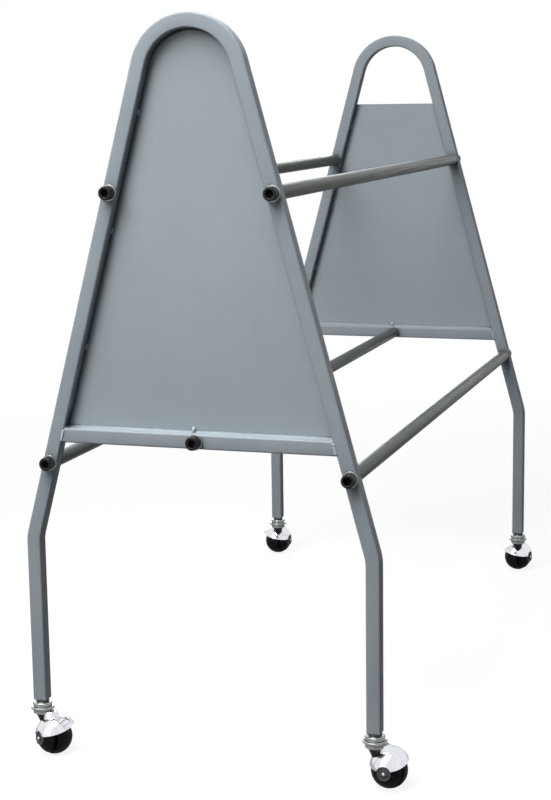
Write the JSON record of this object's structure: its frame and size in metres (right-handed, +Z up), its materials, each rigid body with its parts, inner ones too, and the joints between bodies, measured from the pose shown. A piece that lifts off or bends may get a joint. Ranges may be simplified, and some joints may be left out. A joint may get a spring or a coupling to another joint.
{
  "type": "ball cart",
  "caption": "Open steel cart for sports balls: arched end frames with sheet panels, long rails forming upper and lower lanes, and hooded swivel ball casters.",
  "frame": {"origin": "on the floor under the middle of the whole cart's bounding box", "axes": "+Z up, +Y along the rails, +X across the end frames"},
  "size_m": [0.541, 1.1228, 0.9809],
  "materials": {
    "frame_paint": "satin blue-grey powder coat",
    "rail_paint": "glossy greenish grey",
    "black_steel": "black oxide",
    "zinc": "zinc plated",
    "chrome": "polished",
    "black_rubber": "smooth, slightly glossy",
    "grey_cap": "satin"
  },
  "bodies": {
    "cart": {"end_frame_near": "frame_paint", "crossbar_near": "frame_paint", "end_panel_near": "frame_paint", "end_frame_far": "frame_paint", "crossbar_far": "frame_paint", "end_panel_far": "frame_paint", "rail_upper_left": "rail_paint", "rail_end_upper_left_near": "zinc", "rail_bolt_upper_left_near": "black_steel", "rail_end_upper_left_far": "zinc", "rail_bolt_upper_left_far": "black_steel", "rail_upper_right": "rail_paint", "rail_end_upper_right_near": "zinc", "rail_bolt_upper_right_near": "black_steel", "rail_end_upper_right_far": "zinc", "rail_bolt_upper_right_far": "black_steel", "rail_lower_left": "rail_paint", "rail_end_lower_left_near": "zinc", "rail_bolt_lower_left_near": "black_steel", "rail_end_lower_left_far": "zinc", "rail_bolt_lower_left_far": "black_steel", "rail_lower_right": "rail_paint", "rail_end_lower_right_near": "zinc", "rail_bolt_lower_right_near": "black_steel", "rail_end_lower_right_far": "zinc", "rail_bolt_lower_right_far": "black_steel", "rail_lower_centre": "rail_paint", "rail_end_lower_centre_near": "zinc", "rail_bolt_lower_centre_near": "black_steel", "rail_end_lower_centre_far": "zinc", "rail_bolt_lower_centre_far": "black_steel", "leg_socket_near_left": "zinc", "stem_nut_near_left": "zinc", "caster_stem_near_left": "chrome", "leg_socket_near_right": "zinc", "stem_nut_near_right": "zinc", "caster_stem_near_right": "chrome", "leg_socket_far_left": "zinc", "stem_nut_far_left": "zinc", "caster_stem_far_left": "chrome", "leg_socket_far_right": "zinc", "stem_nut_far_right": "zinc", "caster_stem_far_right": "chrome"},
    "swivel_near_left": {"caster_hood_near_left": "chrome"},
    "wheel_near_left": {"ball_wheel_near_left": "black_rubber", "hub_cap_near_left": "grey_cap", "axle_near_left": "chrome"},
    "swivel_near_right": {"caster_hood_near_right": "chrome"},
    "wheel_near_right": {"ball_wheel_near_right": "black_rubber", "hub_cap_near_right": "grey_cap", "axle_near_right": "chrome"},
    "swivel_far_left": {"caster_hood_far_left": "chrome"},
    "wheel_far_left": {"ball_wheel_far_left": "black_rubber", "hub_cap_far_left": "grey_cap", "axle_far_left": "chrome"},
    "swivel_far_right": {"caster_hood_far_right": "chrome"},
    "wheel_far_right": {"ball_wheel_far_right": "black_rubber", "hub_cap_far_right": "grey_cap", "axle_far_right": "chrome"}
  },
  "joints": [
    {"name": "caster_swivel_near_left", "type": "hinge", "parent": "cart", "child": "swivel_near_left", "pos_m": [-0.23785, -0.53209, 0.05992], "axis": [0, 0, 1], "continuous": true},
    {"name": "wheel_roll_near_left", "type": "hinge", "parent": "swivel_near_left", "child": "wheel_near_left", "pos_m": [-0.2198, -0.53594, 0.02392], "axis": [-0.5704, -0.8147, 0.1045], "continuous": true},
    {"name": "caster_swivel_near_right", "type": "hinge", "parent": "cart", "child": "swivel_near_right", "pos_m": [0.2291, -0.53209, 0.05992], "axis": [0, 0, 1], "continuous": true},
    {"name": "wheel_roll_near_right", "type": "hinge", "parent": "swivel_near_right", "child": "wheel_near_right", "pos_m": [0.24656, -0.52609, 0.02392], "axis": [-0.0694, -0.9921, 0.1045], "continuous": true},
    {"name": "caster_swivel_far_left", "type": "hinge", "parent": "cart", "child": "swivel_far_left", "pos_m": [-0.23785, 0.51886, 0.05992], "axis": [0, 0, 1], "continuous": true},
    {"name": "wheel_roll_far_left", "type": "hinge", "parent": "swivel_far_left", "child": "wheel_far_left", "pos_m": [-0.24355, 0.53642, 0.02392], "axis": [0.9907, -0.0867, 0.1045], "continuous": true},
    {"name": "caster_swivel_far_right", "type": "hinge", "parent": "cart", "child": "swivel_far_right", "pos_m": [0.2291, 0.51886, 0.05992], "axis": [0, 0, 1], "continuous": true},
    {"name": "wheel_roll_far_right", "type": "hinge", "parent": "swivel_far_right", "child": "wheel_far_right", "pos_m": [0.22622, 0.5371, 0.02392], "axis": [0.965, -0.2406, 0.1045], "continuous": true}
  ]
}
